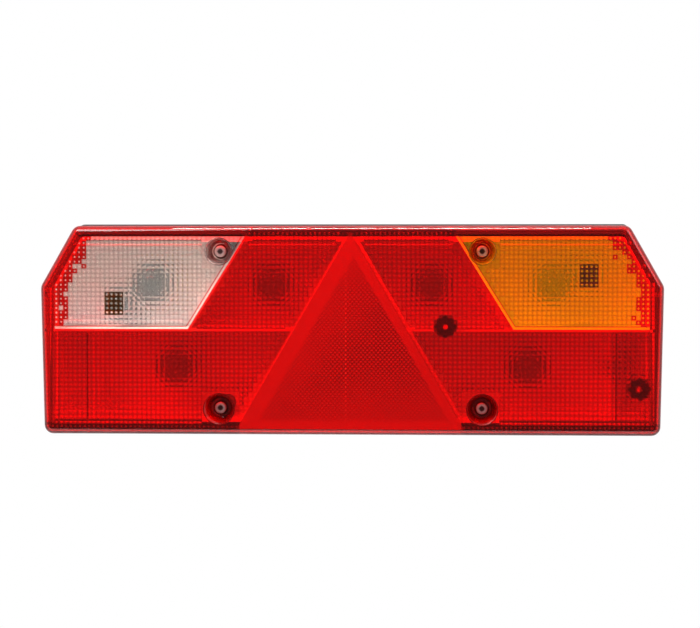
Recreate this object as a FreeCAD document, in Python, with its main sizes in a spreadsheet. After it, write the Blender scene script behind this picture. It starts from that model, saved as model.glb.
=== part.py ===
import FreeCAD, Part
import math
import operator
import os

import Sketcher
from FreeCAD import Placement, Rotation, Vector

# Rear combination lamp for a trailer: a tray on the wall, a light carrier with its bulbs, and a lens.
# The lamp's frame: X across, Y back into the wall, Z up. The origin is the middle of the rear face.
# Every body is drawn in the lamp's front view (X across, Y up, Z out of the wall) and then turned upright.

SIZES = {
    # the lens outline
    "half_width": 202.5,  # at the shoulders
    "side_draft": 2,  # how much narrower each side is at the bottom
    "half_height": 68,
    "shoulder_height": 28.5,
    "slope_angle": 60.33,  # of the cut top corners, from level
    "corner_radius": 6,
    # the lens shell
    "lens_front": 78,  # the lens's front face, from the wall
    "lens_wall": 2.4,
    "skirt_wall": 2.2,
    "front_rounding": 4.5,
    "inner_rounding": 1.5,
    "window_side": 9.8,  # red frame beside a window
    "window_slope": 8.5,  # red frame along the cut corner
    "window_top": 7,  # red frame above a window
    "weld_gap": 0.05,
    "slant_foot": 106.1,  # where a window's slanted edge meets the split line
    "slant_angle": 58.2,
    "rib_width": 1.7,
    "rib_depth": 3,
    "slant_rib_width": 1.2,
    "end_rib_width": 1,
    "end_zone": 31,  # from the shoulder to the end wall
    # the screws' wells in the lens
    "screw_drop": 16.7,  # from the lens's top or bottom edge
    "screw_from_slant": 11.3,
    "screw_from_reflex": 19.02,
    "well_depth": 14,
    "well_floor_wall": 2,
    "well_wall": 1.4,
    "upper_mouth_radius": 8.5,
    "upper_floor_radius": 5.5,
    "lower_mouth_radius": 9.7,
    "lower_floor_radius": 6.2,
    "screw_hole_gap": 0.2,
    # lens screws and their seals
    "screw_radius": 1.75,
    "screw_reach": 21,  # behind the well's floor
    "screw_head_radius": 3.75,
    "screw_head_height": 2.4,
    "recess_reach": 2.6,
    "recess_diagonal": 1.9,
    "recess_root": 1,
    "recess_depth": 1.5,
    "seal_radius": 4.6,
    "seal_height": 0.8,
    "seat_gap": 0.05,
    # the triangular reflector
    "reflex_top": 4,  # from the lens's top edge to the apex
    "reflex_bottom": 3.8,
    "reflex_front_gap": 0.1,
    "reflex_plate": 3,
    "backing_depth": 6.5,
    "backing_wall": 1.4,
    "backing_inset": 2.6,
    # the tray on the wall
    "tray_inset": 1.5,
    "tray_wall": 2.4,
    "back_wall": 3,
    "flange_front": 48,
    "flange_thickness": 3,
    "flange_overhang": 1.2,
    "lip_gap": 0.5,  # between the skirt and the locating lip
    "lip_wall": 1.8,
    "lip_height": 4,
    "gasket_height": 1.5,
    "gasket_gap": 0.2,
    "pillar_radius": 5,
    "pillar_drop": 0.5,  # from the back of the well
    "pilot_gap": 0.05,
    "pilot_depth": 22,
    "rear_recess_depth": 1,
    "rear_recess_inner": 30,
    "rear_recess_outer": 62,  # from the shoulder
    "rear_recess_low": 8,
    "rear_recess_margin": 18,
    # the light carrier
    "carrier_back": 20,
    "carrier_plate": 2,
    "carrier_side": 5.2,  # from the lens outline
    "carrier_edge": 7,
    "carrier_side_wall": 1.8,
    "carrier_edge_wall": 3.3,
    "carrier_from_lens": 17,
    "partition_wall": 1.8,
    "end_partition_drop": 3,
    "pillar_clearance": 0.6,
    "carrier_screw_drop": 18,
    "carrier_screw_radius": 1.2,
    "carrier_screw_head": 2.8,
    "carrier_screw_head_height": 1.8,
    "carrier_boss_radius": 3.5,
    # bulb places
    "outer_bulb_side": 70.5,  # from the shoulder
    "outer_bulb_height": 30,
    "inner_bulb_across": 52.5,
    "inner_bulb_height": 29,
    "lower_bulb_side": 86.5,  # from the shoulder
    "lower_bulb_drop": 25,
    # bulbs
    "cap_radius": 7.5,
    "cap_back": 13,
    "cap_from_pins": 8.5,
    "contact_radius": 3,
    "contact_height": 0.8,
    "pin_radius": 1,
    "pin_rise": 0.85,
    "pin_depth": 20,
    "glass_radius": 12.6,
    "neck_inset": 0.6,
    "neck_from_pins": 4,
    "glass_from_lens": 24.6,
    "glass_wall": 0.7,
    "glass_gap": 0.1,
    "stem_radius": 3,
    "stem_rise": 4.5,  # in front of the cap
    "wire_radius": 0.4,
    "wire_spread": 2.6,
    "filament_drop": 3.4,  # behind the middle of the glass
    "filament_radius": 0.6,
    # bulb sockets
    "socket_gap": 0.08,
    "socket_wall": 1.0,
    "socket_back": 9.5,
    "socket_from_pins": 9,
    "socket_flange_rim": 1.92,
    "socket_flange_height": 1.1,
    "socket_hole_gap": 0.2,
    "slot_gap": 0.2,
    "release_turn": 20,
    "slot_spare_turn": 9.5,
    "insulator_gap": 0.2,
    "insulator_back": 10,
    "insulator_height": 1.8,
    "spring_radius": 1.5,
    "spring_gap": 0.1,
    # current strips
    "strip_thickness": 0.8,
    "feed_back": 7,
    "feed_half_width": 2,
    "feed_end": 20,
    "outer_feed_lane": 42,
    "lower_feed_lane": 8,
    "earth_gap": 0.4,
    "earth_half_width": 5,
    "earth_pad_rim": 3.42,
    # side marker
    "marker_side": 25.5,  # from the shoulder
    "marker_drop": 24,
    "marker_holder_radius": 6.5,
    "marker_holder_back": 14,
    "marker_holder_front": 25,
    "marker_glass_radius": 5,
    "marker_glass_front": 44,
    # rubber buffers behind the lens
    "upper_buffer_across": 61.6,
    "upper_buffer_height": 2.6,
    "lower_buffer_side": 15.7,  # from the shoulder
    "lower_buffer_drop": 37.6,
    "buffer_radius": 7.8,
    "buffer_from_lens": 12,
    "buffer_height": 5,
    "buffer_post_radius": 1.9,
    "buffer_notch_radius": 1.3,
    "buffer_gap": 0.1,
    # plug socket in the tray's back
    "plug_height": 24,
    "plug_shell_radius": 13,
    "plug_bore_radius": 11.5,
    "plug_front": 17,
    "plug_bore_depth": 14,
    "plug_flange_radius": 16,
    "plug_flange_height": 2.5,
    "plug_gap": 0.2,
    "plug_seal_height": 1,
    "plug_pin_radius": 1.2,
    "plug_pin_circle": 6.5,
    "plug_pin_back": 6,
    "plug_pin_front": 18,
    # mounting bolts
    "bolt_side": 47.5,  # from the shoulder
    "left_bolt_height": 17.5,
    "right_bolt_height": 35.5,
    "bolt_radius": 3,
    "bolt_length": 20,  # behind the rear face
    "bolt_hole_gap": 0.3,
    "bolt_neck_gap": 0.1,
    "bolt_neck_reach": 0.5,  # behind the rear face
    "washer_radius": 6,
    "washer_height": 1,
    "bolt_head_radius": 5.5,
    "bolt_head_height": 4,
    "bolt_cap_half": 6.2,
    "bolt_cap_from_lens": 16,
    "bolt_cap_gap": 0.3,
}

CORNERS = {"left": -1, "right": 1}
PLUG_PINS = 7
BUFFER_LOBES = 8
RECESS_CORNERS = 16
SMALLEST_CUT = 1e-3  # cubic millimetres
NEAR = 1e-4

doc = FreeCAD.newDocument("TailLight")
sheet = doc.addObject("Spreadsheet::Sheet", "Sizes")
pieces = []


class Size:
    """A size: its number, and the formula on the sheet's cells that gives it."""

    def __init__(self, number, formula=None):
        self.number = float(number)
        self.formula = formula or f"{float(number):.6f}"

    def join(self, other, sign, rule):
        other = as_size(other)
        return Size(rule(self.number, other.number), f"({self.formula} {sign} {other.formula})")

    def __add__(self, other):
        return self.join(other, "+", operator.add)

    def __radd__(self, other):
        return as_size(other) + self

    def __sub__(self, other):
        return self.join(other, "-", operator.sub)

    def __rsub__(self, other):
        return as_size(other) - self

    def __mul__(self, other):
        return self.join(other, "*", operator.mul)

    def __rmul__(self, other):
        return as_size(other) * self

    def __truediv__(self, other):
        return self.join(other, "/", operator.truediv)

    def __rtruediv__(self, other):
        return as_size(other) / self

    def __neg__(self):
        return 0 - self


def as_size(value):
    return value if isinstance(value, Size) else Size(value)


def sine(angle):
    angle = as_size(angle)
    return Size(math.sin(math.radians(angle.number)), f"sin({angle.formula})")


def cosine(angle):
    angle = as_size(angle)
    return Size(math.cos(math.radians(angle.number)), f"cos({angle.formula})")


def tangent(angle):
    angle = as_size(angle)
    return Size(math.tan(math.radians(angle.number)), f"tan({angle.formula})")


class SheetSizes:
    """Every named size, read as an attribute and tied to its cell."""

    def __init__(self, numbers):
        for row, (name, number) in enumerate(numbers.items(), start=1):
            sheet.set(f"A{row}", name)
            sheet.set(f"B{row}", str(number))
            sheet.setAlias(f"B{row}", name)
            setattr(self, name, Size(number, f"Sizes.{name}"))


s = SheetSizes(SIZES)
doc.recompute()


def bind(thing, prop, value):
    """Tie one of a thing's properties to the sheet, or leave a plain number as it is."""
    if "Sizes." in as_size(value).formula:
        thing.setExpression(prop, value.formula)


class Piece:
    """One sub-part's body, drawn in the front view: X across, Y up, Z out of the wall."""

    def __init__(self, label, across=0, up=0):
        self.body = doc.addObject("PartDesign::Body", label)
        self.body.Label = label
        self.body.AllowCompound = True
        place = Vector(as_size(across).number, 0, as_size(up).number)
        self.body.Placement = Placement(place, Rotation(Vector(1, 0, 0), 90))
        bind(self.body, "Placement.Base.x", across)
        bind(self.body, "Placement.Base.z", up)
        pieces.append(self.body)

    def add(self, kind, **sizes):
        feature = self.body.newObject(f"PartDesign::{kind}", f"{self.body.Label}_{kind}")
        for prop, value in sizes.items():
            setattr(feature, prop, as_size(value).number)
            bind(feature, prop, value)
        return feature

    def attach(self, thing, across, up, depth, turn=Rotation()):
        """Put a sketch or a primitive on the body's own front plane, moved by three sizes."""
        planes = self.body.Origin.OriginFeatures
        front = next(plane for plane in planes if plane.Role == "XY_Plane")
        thing.AttachmentSupport = (front, [""])
        thing.MapMode = "FlatFace"
        place = Vector(*(as_size(value).number for value in (across, up, depth)))
        thing.AttachmentOffset = Placement(place, turn)
        for axis, value in zip("xyz", (across, up, depth)):
            bind(thing, f"AttachmentOffset.Base.{axis}", value)

    def outline(self, points, depth):
        """A closed outline of straight lines, each corner held by its two distances."""
        sketch = self.body.newObject("Sketcher::SketchObject", f"{self.body.Label}_outline")
        self.attach(sketch, 0, 0, depth)
        corners = [Vector(as_size(x).number, as_size(y).number, 0) for x, y in points]
        count = len(corners)
        for index, corner in enumerate(corners):
            sketch.addGeometry(Part.LineSegment(corner, corners[(index + 1) % count]))
        for index in range(count):
            sketch.addConstraint(Sketcher.Constraint("Coincident", index, 2, (index + 1) % count, 1))
        for index, point in enumerate(points):
            for kind, value in zip(("DistanceX", "DistanceY"), point):
                rule = Sketcher.Constraint(kind, -1, 1, index, 1, as_size(value).number)
                number = sketch.addConstraint(rule)
                bind(sketch, f"Constraints[{number}]", value)
        return sketch

    def pad(self, points, low, high):
        sketch = self.outline(points, low)
        feature = self.add("Pad", Length=high - low)
        feature.Profile = sketch

    def pocket(self, points, low, high):
        """Cut an outline out from one depth to another."""
        sketch = self.outline(points, low)
        feature = self.add("Pocket", Length=high - low)
        feature.Profile = sketch
        feature.Reversed = True

    def rod(self, radius, low, high, at=(0, 0), cut=False):
        kind = "SubtractiveCylinder" if cut else "AdditiveCylinder"
        self.attach(self.add(kind, Radius=radius, Height=high - low), *at, low)

    def hole(self, radius, low, high, at=(0, 0)):
        self.rod(radius, low, high, at, cut=True)

    def cone(self, low_radius, high_radius, low, high, at=(0, 0), cut=False):
        kind = "SubtractiveCone" if cut else "AdditiveCone"
        feature = self.add(kind, Radius1=low_radius, Radius2=high_radius, Height=high - low)
        self.attach(feature, *at, low)

    def block(self, half_length, half_width, low, high, at=(0, 0), cut=False):
        """A box centred on a point of the front view."""
        kind = "SubtractiveBox" if cut else "AdditiveBox"
        feature = self.add(kind, Length=2 * half_length, Width=2 * half_width, Height=high - low)
        self.attach(feature, at[0] - half_length, at[1] - half_width, low)

    def round_off(self, radius, chosen):
        """Round the edges of the body so far that a test chooses."""
        doc.recompute()
        base = self.body.Tip
        names = [f"Edge{i}" for i, edge in enumerate(base.Shape.Edges, start=1) if chosen(edge)]
        feature = self.add("Fillet", Radius=radius)
        feature.Base = (base, names)


def runs_in_depth(edge):
    first, last = edge.Vertexes[0].Point, edge.Vertexes[-1].Point
    return math.hypot(first.x - last.x, first.y - last.y) < NEAR < abs(first.z - last.z)


def lies_at(depth):
    """A test for edges that lie all in one plane across the depth."""
    level = as_size(depth).number
    return lambda edge: all(abs(vertex.Z - level) < NEAR for vertex in edge.Vertexes)


def stands_on(points):
    """A test for edges that run in depth from the corners of an outline."""
    corners = [(as_size(x).number, as_size(y).number) for x, y in points]

    def chosen(edge):
        foot = edge.Vertexes[0].Point
        return runs_in_depth(edge) and any(math.hypot(foot.x - x, foot.y - y) < NEAR for x, y in corners)

    return chosen


# Shared places and outlines

bottom_half_width = s.half_width - s.side_draft


def lamp_outline(side, edge):
    """The lamp's outline, drawn in by side at its ends and slopes and by edge at top and bottom."""
    slope = s.slope_angle
    rise = s.half_height - s.shoulder_height
    half = [
        (bottom_half_width - side, edge - s.half_height),
        (s.half_width - side, s.shoulder_height - side * tangent(45 - slope / 2)),
        (s.half_width - (rise - edge) / tangent(slope) - side / sine(slope), s.half_height - edge),
    ]
    return half + [(-x, z) for x, z in reversed(half)]


def slant(height):
    """How far from the centre line a window's slanted edge is, at a height."""
    return s.slant_foot - height / tangent(s.slant_angle)


def window_outline(hand, gap):
    """A window's five corners, drawn in by a gap."""
    slope = s.slope_angle
    side = s.window_side + gap
    along = s.window_slope + gap
    low = s.rib_width / 2 + gap
    high = s.half_height - s.window_top - gap
    inner = gap / sine(s.slant_angle)
    rise = high - s.shoulder_height
    corners = [
        (slant(low) + inner, low),
        (s.half_width - side, low),
        (s.half_width - side, s.shoulder_height + (side * sine(slope) - along) / cosine(slope)),
        (s.half_width - rise / tangent(slope) - along / sine(slope), high),
        (slant(high) + inner, high),
    ]
    return [(hand * x, z) for x, z in corners]


def reflex_outline(inset):
    """The equilateral triangle of the reflector, drawn in all round."""
    low = s.reflex_bottom - s.half_height + inset
    high = s.half_height - s.reflex_top - 2 * inset
    half = (high - low) / tangent(60)
    return [(half, low), (0, high), (-half, low)]


def reflex_side(height):
    """How far from the centre line the reflector's sloping side is, at a height."""
    return (s.half_height - s.reflex_top - height) / tangent(60)


def band(hand, line, low, high, start, width):
    """A straight sloping band beside a line: it starts so far outside it and is so wide."""
    ends = [(line(low) + start, low), (line(low) + start + width, low)]
    ends += [(line(high) + start + width, high), (line(high) + start, high)]
    return [(hand * x, z) for x, z in ends]


screw_height = s.half_height - s.screw_drop
upper_screw_across = slant(screw_height) + s.screw_from_slant
lower_screw_across = reflex_side(-screw_height) + s.screw_from_reflex
lens_inside = s.lens_front - s.lens_wall
skirt_back = s.flange_front + s.gasket_height
well_floor = s.lens_front - s.well_depth
well_back = well_floor - s.well_floor_wall
pillar_top = well_back - s.pillar_drop
carrier_front = s.lens_front - s.carrier_from_lens
end_partition_front = carrier_front - s.end_partition_drop
carrier_floor = s.carrier_back + s.carrier_plate
carrier_top_inside = s.half_height - s.carrier_edge - s.carrier_edge_wall
end_wall = s.half_width - s.end_zone
socket_bore = s.cap_radius + s.socket_gap
socket_radius = socket_bore + s.socket_wall
socket_flange_radius = socket_radius + s.socket_flange_rim
socket_front = s.pin_depth + s.socket_from_pins
cap_front = s.pin_depth + s.cap_from_pins
neck_radius = s.cap_radius - s.neck_inset
neck_back = s.pin_depth + s.neck_from_pins
glass_centre = s.lens_front - s.glass_from_lens
buffer_back = s.lens_front - s.buffer_from_lens
buffer_front = buffer_back + s.buffer_height
bolt_across = s.half_width - s.bolt_side

SCREWS = {
    f"{level}_{side}": (hand * across, sign * screw_height)
    for level, sign, across in (("upper", 1, upper_screw_across), ("lower", -1, lower_screw_across))
    for side, hand in CORNERS.items()
}
BULBS = {
    "reverse": (s.outer_bulb_side - s.half_width, s.outer_bulb_height),
    "indicator": (s.half_width - s.outer_bulb_side, s.outer_bulb_height),
    "fog": (-s.inner_bulb_across, s.inner_bulb_height),
    "stop": (s.inner_bulb_across, s.inner_bulb_height),
    "tail_left": (s.lower_bulb_side - s.half_width, -s.lower_bulb_drop),
    "tail_right": (s.half_width - s.lower_bulb_side, -s.lower_bulb_drop),
}
MARKER = (s.half_width - s.marker_side, -s.marker_drop)
BUFFERS = {
    "upper": (s.upper_buffer_across, s.upper_buffer_height),
    "lower": (s.half_width - s.lower_buffer_side, -s.lower_buffer_drop),
}
BOLTS = {"left": (-bolt_across, s.left_bolt_height), "right": (bolt_across, s.right_bolt_height)}
CARRIER_SCREWS = [
    (0, s.carrier_screw_drop - s.half_height),
    (-bolt_across, s.carrier_screw_drop - s.half_height),
    (bolt_across, s.carrier_screw_drop - s.half_height),
]
PLUG = (0, s.plug_height)


# The tray


def make_housing():
    """The black tray: back, walls, flange, locating lip, screw pillars and bosses."""
    tray = Piece("housing")
    outer = lamp_outline(s.tray_inset, s.tray_inset)
    inset = s.tray_inset + s.tray_wall
    tray.pad(outer, 0, s.flange_front)
    flange = lamp_outline(-s.flange_overhang, -s.flange_overhang)
    tray.pad(flange, s.flange_front - s.flange_thickness, s.flange_front)
    lip = s.skirt_wall + s.lip_gap
    lip_front = s.flange_front + s.lip_height
    tray.pad(lamp_outline(lip, lip), s.flange_front - s.flange_thickness, lip_front)
    tray.round_off(s.corner_radius - s.lip_wall, runs_in_depth)
    inside = s.skirt_wall + s.lip_gap + s.lip_wall
    tray.pocket(lamp_outline(inside, inside), s.back_wall, lip_front)
    tray.pocket(lamp_outline(inset, inset), s.back_wall, s.flange_front - s.flange_thickness)
    for hand in CORNERS.values():
        for sign in (-1, 1):
            near = (s.rear_recess_inner * hand, s.rear_recess_low * sign)
            far_x = (s.half_width - s.rear_recess_outer) * hand
            far_z = (s.half_height - s.rear_recess_margin) * sign
            corners = [near, (far_x, near[1]), (far_x, far_z), (near[0], far_z)]
            tray.pocket(corners, 0, s.rear_recess_depth)
    for place in SCREWS.values():
        tray.rod(s.pillar_radius, s.back_wall, pillar_top, place)
        pilot = s.screw_radius + s.pilot_gap
        tray.hole(pilot, pillar_top - s.pilot_depth, pillar_top, place)
    for place in CARRIER_SCREWS:
        tray.rod(s.carrier_boss_radius, s.back_wall, s.carrier_back, place)
        tray.hole(s.carrier_screw_radius + s.pilot_gap, s.back_wall + 1, s.carrier_back, place)
    for place in BOLTS.values():
        tray.hole(s.bolt_radius + s.bolt_hole_gap, 0, s.back_wall, place)
    tray.hole(s.plug_shell_radius + s.plug_gap, 0, s.back_wall, PLUG)


def make_gasket():
    gasket = Piece("rim_gasket")
    outer = s.gasket_gap
    inner = s.skirt_wall + s.gasket_gap
    front = skirt_back - s.seat_gap
    gasket.pad(lamp_outline(outer, outer), s.flange_front, front)
    gasket.round_off(s.corner_radius - s.gasket_gap, runs_in_depth)
    gasket.pocket(lamp_outline(inner, inner), s.flange_front, front)


# The light carrier


def make_carrier():
    """The white carrier: plate, outer wall, partitions, buffer posts, and holes for what passes through."""
    carrier = Piece("reflector_carrier")
    carrier.pad(lamp_outline(s.carrier_side, s.carrier_edge), s.carrier_back, carrier_front)
    carrier.round_off(s.corner_radius / 2, runs_in_depth)
    side = s.carrier_side + s.carrier_side_wall
    edge = s.carrier_edge + s.carrier_edge_wall
    carrier.pocket(lamp_outline(side, edge), carrier_floor, carrier_front)
    # the partitions reach half their wall into the outer wall, the plate and each other
    bite = s.carrier_side_wall / 2
    half = s.partition_wall / 2
    high = carrier_top_inside + bite
    reach = bottom_half_width - side + bite
    low = carrier_floor - bite
    carrier.block(reach, half, low, carrier_front)
    for hand in CORNERS.values():
        centre = (hand * end_wall, -high / 2)
        carrier.block(half, high / 2, low, end_partition_front, centre)
        slant_band = band(hand, slant, 0, high, 0, s.partition_wall / sine(s.slant_angle))
        carrier.pad(slant_band, low, carrier_front)
        side_band = band(hand, reflex_side, -high, high, 0, s.partition_wall / sine(60))
        carrier.pad(side_band, low, carrier_front)
    for place in BUFFERS.values():
        carrier.rod(s.buffer_post_radius, low, buffer_front, place)
    for place in BULBS.values():
        carrier.hole(socket_radius + s.socket_hole_gap, s.carrier_back, carrier_floor, place)
    # the marker's hole also opens the end wall beside it, which lets its light out both ways
    marker_room = s.marker_holder_radius + s.socket_hole_gap
    carrier.hole(marker_room, s.carrier_back, end_partition_front, MARKER)
    for place in SCREWS.values():
        carrier.hole(s.pillar_radius + s.pillar_clearance, s.carrier_back, carrier_floor, place)
    for place in CARRIER_SCREWS:
        carrier.hole(s.carrier_screw_radius + s.pilot_gap, s.carrier_back, carrier_floor, place)
    for place in BOLTS.values():
        half_window = s.bolt_cap_half + s.bolt_cap_gap
        carrier.block(half_window, half_window, s.carrier_back, carrier_floor, place, cut=True)


def make_carrier_screws():
    screws = Piece("carrier_screws")
    for place in CARRIER_SCREWS:
        screws.rod(s.carrier_screw_radius, s.back_wall + 2, carrier_floor + s.seat_gap, place)
        head_front = carrier_floor + s.seat_gap + s.carrier_screw_head_height
        screws.rod(s.carrier_screw_head, carrier_floor + s.seat_gap, head_front, place)


def make_buffers():
    """Rubber rings with notched rims, on the carrier's posts behind the lens."""
    for name, place in BUFFERS.items():
        ring = Piece(f"lens_buffer_{name}", *place)
        ring.rod(s.buffer_radius, buffer_back, buffer_front)
        ring.hole(s.buffer_post_radius + s.buffer_gap, buffer_back, buffer_front)
        for lobe in range(BUFFER_LOBES):
            angle = 360 * lobe / BUFFER_LOBES
            rim = (s.buffer_radius * cosine(angle), s.buffer_radius * sine(angle))
            ring.hole(s.buffer_notch_radius, buffer_back, buffer_front, rim)


# Sockets, contacts and strips


def make_socket(name, place):
    """A brass tube with a flange and two L-shaped slots that lock the bulb's pins."""
    socket = Piece(f"socket_{name}", *place)
    socket.rod(socket_radius, s.socket_back, socket_front)
    flange_back = carrier_floor + s.seat_gap
    socket.rod(socket_flange_radius, flange_back, flange_back + s.socket_flange_height)
    socket.hole(socket_bore, s.socket_back, socket_front)
    half = s.pin_radius + s.slot_gap
    reach = socket_flange_radius + s.slot_gap
    for start in (0, 180):
        sector = socket.add("SubtractiveCylinder", Radius=reach, Height=2 * half)
        sector.Angle = (s.release_turn + 2 * s.slot_spare_turn).number
        bind(sector, "Angle", s.release_turn + 2 * s.slot_spare_turn)
        turn = Rotation(Vector(0, 0, 1), start - s.slot_spare_turn.number)
        socket.attach(sector, 0, 0, s.pin_depth - half, turn)
        height = socket_front - s.pin_depth
        entry = socket.add("SubtractiveBox", Length=reach, Width=2 * half, Height=height)
        angle = start + s.release_turn.number
        corner = (half * sine(angle), -half * cosine(angle))
        socket.attach(entry, *corner, s.pin_depth, Rotation(Vector(0, 0, 1), angle))


def make_insulators():
    """The rings that close the sockets behind the bulbs."""
    rings = Piece("socket_insulators")
    back = s.insulator_back
    for place in BULBS.values():
        rings.rod(socket_bore - s.insulator_gap, back, back + s.insulator_height, place)
    for place in BULBS.values():
        rings.hole(s.spring_radius + s.insulator_gap, back, back + s.insulator_height, place)


def make_contact_springs():
    """The centre contacts, from the feed strips to the bulbs."""
    springs = Piece("contact_springs")
    front = s.cap_back - s.contact_height - s.spring_gap
    for place in BULBS.values():
        springs.rod(s.spring_radius, s.feed_back + s.strip_thickness, front, place)


def make_feed_strips():
    """One brass strip from each centre contact to the plug socket: up or down to its lane, then in."""
    strips = Piece("feed_strips")
    back, front = s.feed_back, s.feed_back + s.strip_thickness
    lanes = {"reverse": s.outer_feed_lane, "indicator": s.outer_feed_lane}
    lanes.update({"fog": s.inner_bulb_height, "stop": s.inner_bulb_height})
    lanes.update({"tail_left": -s.lower_feed_lane, "tail_right": -s.lower_feed_lane})
    half = s.feed_half_width
    for name, (across, up) in BULBS.items():
        lane = lanes[name]
        hand = 1 if across.number > 0 else -1
        sign = 1 if lane.number > up.number else -1
        strips.block(half, half, back, front, (across, up))
        if name not in ("fog", "stop"):
            strips.block(half, sign * (lane - up) / 2 + half, back, front, (across, (lane + up) / 2))
        inner = s.feed_end * hand
        length = hand * (across - inner) / 2 + half
        strips.block(length, half, back, front, ((across + inner) / 2, lane))


def make_earth_strip():
    """The common strip behind the carrier, with a pad round each socket."""
    strip = Piece("earth_strip")
    front = s.carrier_back - s.earth_gap
    back = front - s.strip_thickness
    upper, lower = s.outer_bulb_height, -s.lower_bulb_drop
    half = s.earth_half_width
    strip.block(s.half_width - s.outer_bulb_side, half, back, front, (0, upper))
    strip.block(s.half_width - s.lower_bulb_side, half, back, front, (0, lower))
    strip.block(half, (upper - lower) / 2, back, front, (0, (upper + lower) / 2))
    tail = BULBS["tail_right"][0]
    strip.block((MARKER[0] - tail) / 2, half, back, front, ((MARKER[0] + tail) / 2, lower))
    pad_radius = socket_radius + s.earth_pad_rim
    for place in BULBS.values():
        strip.rod(pad_radius, back, front, place)
    strip.rod(pad_radius, back, front, MARKER)
    for place in BULBS.values():
        strip.hole(socket_radius + s.socket_hole_gap, back, front, place)
    strip.hole(s.marker_holder_radius + s.socket_hole_gap, back, front, MARKER)


# Bulbs


def make_bulb(name, place):
    """A two-pin bayonet bulb: brass cap with pins, glass envelope, stem with the filament."""
    cap = Piece(f"bulb_cap_{name}", *place)
    cap.rod(s.cap_radius, s.cap_back, cap_front)
    cap.rod(s.contact_radius, s.cap_back - s.contact_height, s.cap_back)
    cross = Rotation(Vector(0, 1, 0), 90)
    pin_reach = s.cap_radius + s.pin_rise
    pins = cap.add("AdditiveCylinder", Radius=s.pin_radius, Height=2 * pin_reach)
    cap.attach(pins, -pin_reach, 0, s.pin_depth, cross)
    cap.hole(neck_radius + s.glass_gap, neck_back - s.glass_gap, cap_front)

    glass = Piece(f"bulb_glass_{name}", *place)
    glass.rod(neck_radius, neck_back, glass_centre)
    glass.attach(glass.add("AdditiveSphere", Radius=s.glass_radius), 0, 0, glass_centre)
    glass.hole(neck_radius - s.glass_wall, neck_back, glass_centre)
    inside = glass.add("SubtractiveSphere", Radius=s.glass_radius - s.glass_wall)
    glass.attach(inside, 0, 0, glass_centre)

    stem = Piece(f"filament_{name}", *place)
    stem_front = cap_front + s.stem_rise
    filament_depth = glass_centre - s.filament_drop
    stem.rod(s.stem_radius, neck_back, stem_front)
    for hand in CORNERS.values():
        stem.rod(s.wire_radius, stem_front - 1, filament_depth, (hand * s.wire_spread, 0))
    coil = stem.add("AdditiveCylinder", Radius=s.filament_radius, Height=2 * s.wire_spread)
    stem.attach(coil, -s.wire_spread, 0, filament_depth, cross)


def make_marker():
    """The small wedge bulb that lights the lamp's end, and its holder."""
    holder = Piece("marker_holder", *MARKER)
    holder.rod(s.marker_holder_radius, s.marker_holder_back, s.marker_holder_front)
    bore = s.marker_glass_radius + s.glass_gap
    bore_back = s.marker_holder_back + 3
    holder.hole(bore, bore_back, s.marker_holder_front)

    glass = Piece("marker_glass", *MARKER)
    foot = bore_back + s.glass_gap
    tip = s.marker_glass_front - s.marker_glass_radius
    inner = s.marker_glass_radius - s.glass_wall
    glass.rod(s.marker_glass_radius, foot, tip)
    glass.attach(glass.add("AdditiveSphere", Radius=s.marker_glass_radius), 0, 0, tip)
    glass.hole(inner, foot, tip)
    glass.attach(glass.add("SubtractiveSphere", Radius=inner), 0, 0, tip)

    stem = Piece("marker_filament", *MARKER)
    stem.rod(inner - 1, foot, s.marker_holder_front)
    spread = s.wire_spread / 2
    coil_depth = tip - s.marker_glass_radius
    for hand in CORNERS.values():
        stem.rod(s.wire_radius, s.marker_holder_front - 1, coil_depth, (hand * spread, 0))
    coil = stem.add("AdditiveCylinder", Radius=s.filament_radius, Height=2 * spread)
    stem.attach(coil, -spread, 0, coil_depth, Rotation(Vector(0, 1, 0), 90))


# The plug socket


def make_plug_socket():
    """A recessed round socket in the tray's back: shell, seal and seven pins."""
    shell = Piece("plug_shell", *PLUG)
    flange_back = s.back_wall + s.plug_seal_height
    shell.rod(s.plug_shell_radius, 0, s.plug_front)
    shell.rod(s.plug_flange_radius, flange_back, flange_back + s.plug_flange_height)
    shell.hole(s.plug_bore_radius, 0, s.plug_bore_depth)

    seal = Piece("plug_seal", *PLUG)
    seal.rod(s.plug_flange_radius, s.back_wall, flange_back)
    seal.hole(s.plug_shell_radius + s.plug_gap, s.back_wall, flange_back)

    pins = Piece("plug_pins", *PLUG)
    places = [(0, 0)]
    for number in range(PLUG_PINS - 1):
        angle = 360 * number / (PLUG_PINS - 1)
        places.append((s.plug_pin_circle * cosine(angle), s.plug_pin_circle * sine(angle)))
    for place in places:
        pins.rod(s.plug_pin_radius, s.plug_pin_back, s.plug_pin_front, place)
    for place in places:
        shell.hole(s.plug_pin_radius, s.plug_bore_depth, s.plug_front, place)


# Mounting bolts


def make_mounting():
    """A bolt through the tray's back on each side, its washer, and the square rubber post over its head."""
    washers = Piece("bolt_washers")
    washer_front = s.back_wall + s.washer_height
    for side, place in BOLTS.items():
        bolt = Piece(f"mounting_bolt_{side}", *place)
        bolt.rod(s.bolt_radius, -s.bolt_length, washer_front + s.bolt_head_height)
        bolt.rod(s.bolt_head_radius, washer_front, washer_front + s.bolt_head_height)
        neck = s.bolt_radius + s.bolt_hole_gap - s.bolt_neck_gap
        bolt.rod(neck, -s.bolt_neck_reach, washer_front)
        washers.rod(s.washer_radius, s.back_wall, washer_front, place)
        cap = Piece(f"bolt_cap_{side}", *place)
        cap.block(s.bolt_cap_half, s.bolt_cap_half, washer_front, s.lens_front - s.bolt_cap_from_lens)
        room = s.bolt_head_radius + s.bolt_cap_gap
        cap.hole(room, washer_front, washer_front + s.bolt_head_height + s.bolt_cap_gap)
    for place in BOLTS.values():
        washers.hole(s.bolt_radius + s.bolt_hole_gap, s.back_wall, washer_front, place)


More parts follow.
